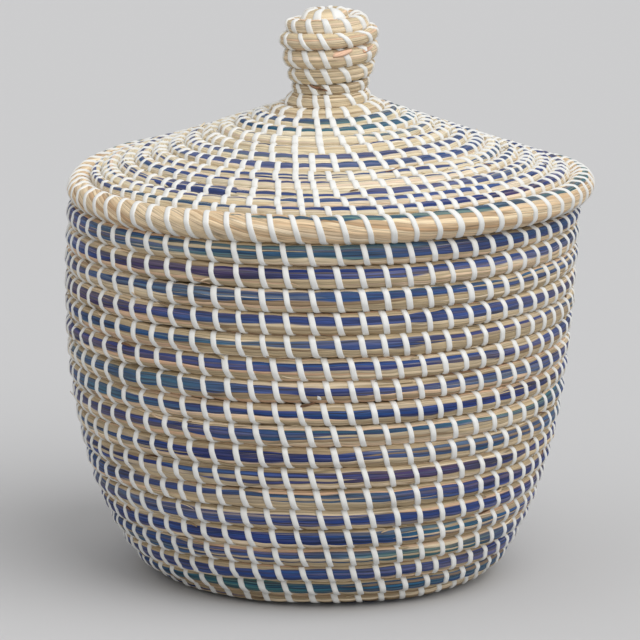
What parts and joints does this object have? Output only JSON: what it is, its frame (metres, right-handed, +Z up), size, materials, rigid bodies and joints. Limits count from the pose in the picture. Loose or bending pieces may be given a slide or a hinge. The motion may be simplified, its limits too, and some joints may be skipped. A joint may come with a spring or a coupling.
{
  "type": "woven lidded box",
  "caption": "Round storage box of coiled and sewn grass with bulging sides, dyed blue bands, and a lift-off cone lid with a coiled knob.",
  "frame": {"origin": "on the floor, under the middle of the part's box", "axes": "+Z up through the knob, -Y towards the viewer of the picture, +X to the viewer's right"},
  "size_m": [0.3055, 0.3086, 0.33],
  "materials": {
    "plain_grass": "dry twisted grass, natural tan, sewn with white strip",
    "dyed_grass": "dry twisted grass, tan with a band dyed blue to teal, sewn with white strip",
    "lid_grass": "dry twisted grass, pale tan with a thin dyed blue band, sewn with white strip",
    "sewing_strip": "flat white plastic strip, satin"
  },
  "bodies": {
    "basket": {"base_coil": "plain_grass", "heel_coil": "dyed_grass", "flank_coil": "dyed_grass", "belly_coil": "dyed_grass", "wall_coil": "dyed_grass"},
    "lid": {"knob_coil": "plain_grass", "lid_coil": "lid_grass", "lid_rim_coil": "plain_grass", "lid_locating_coil": "plain_grass"}
  },
  "joints": [
    {"name": "lid_lift", "type": "slide", "parent": "basket", "child": "lid", "axis": [0, 0, 1], "range_m": [0, 0.25]}
  ]
}
